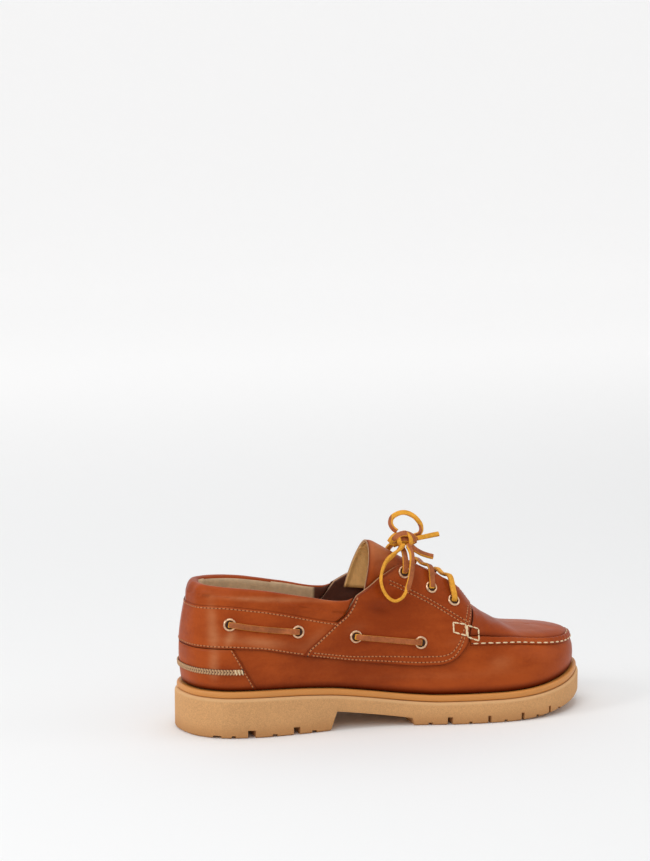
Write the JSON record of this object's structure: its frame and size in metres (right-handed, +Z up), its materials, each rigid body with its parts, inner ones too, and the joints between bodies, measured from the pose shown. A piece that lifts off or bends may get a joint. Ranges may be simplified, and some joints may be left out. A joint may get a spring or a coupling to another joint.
{
  "type": "boat shoe",
  "caption": "Right-foot leather boat shoe with a lug sole, moccasin toe seam, padded collar, laces along the sides and a tied bow.",
  "frame": {"origin": "on the floor, under the middle of the sole's length and width", "axes": "+X towards the toe, +Y towards the inner side of the foot, +Z up"},
  "size_m": [0.3, 0.1066, 0.1448],
  "materials": {
    "gum_rubber": "matt, fine grain",
    "welt_rubber": "smooth, satin",
    "tan_leather": "waxed pull-up leather, satin",
    "lining_leather": "unfinished lining leather, matt",
    "seam_leather": "braided seam, satin",
    "brass": "aged brass",
    "lace_leather": "oiled rawhide"
  },
  "bodies": {
    "root": {"apron": "tan_leather", "apron_seam": "tan_leather", "collar": "tan_leather", "footbed": "lining_leather", "heel_counter": "tan_leather", "heel_seam": "seam_leather", "lace_end_inner": "lace_leather", "lace_end_outer": "lace_leather", "lace_knot": "lace_leather", "lace_loop_inner": "lace_leather", "lace_loop_outer": "lace_leather", "outsole": "gum_rubber", "quarter": "tan_leather", "saddle_inner": "tan_leather", "saddle_outer": "tan_leather", "side_eyelet_inner_1": "brass", "side_eyelet_inner_2": "brass", "side_eyelet_inner_3": "brass", "side_eyelet_inner_4": "brass", "side_eyelet_outer_1": "brass", "side_eyelet_outer_2": "brass", "side_eyelet_outer_3": "brass", "side_eyelet_outer_4": "brass", "side_lace_inner_front": "lace_leather", "side_lace_inner_rear": "lace_leather", "side_lace_outer_front": "lace_leather", "side_lace_outer_rear": "lace_leather", "throat_eyelet_inner_1": "brass", "throat_eyelet_inner_2": "brass", "throat_eyelet_inner_3": "brass", "throat_eyelet_outer_1": "brass", "throat_eyelet_outer_2": "brass", "throat_eyelet_outer_3": "brass", "throat_lace_1": "lace_leather", "throat_lace_2": "lace_leather", "throat_lace_3": "lace_leather", "tongue": "tan_leather", "upper": "tan_leather", "welt": "welt_rubber"}
  },
  "joints": []
}
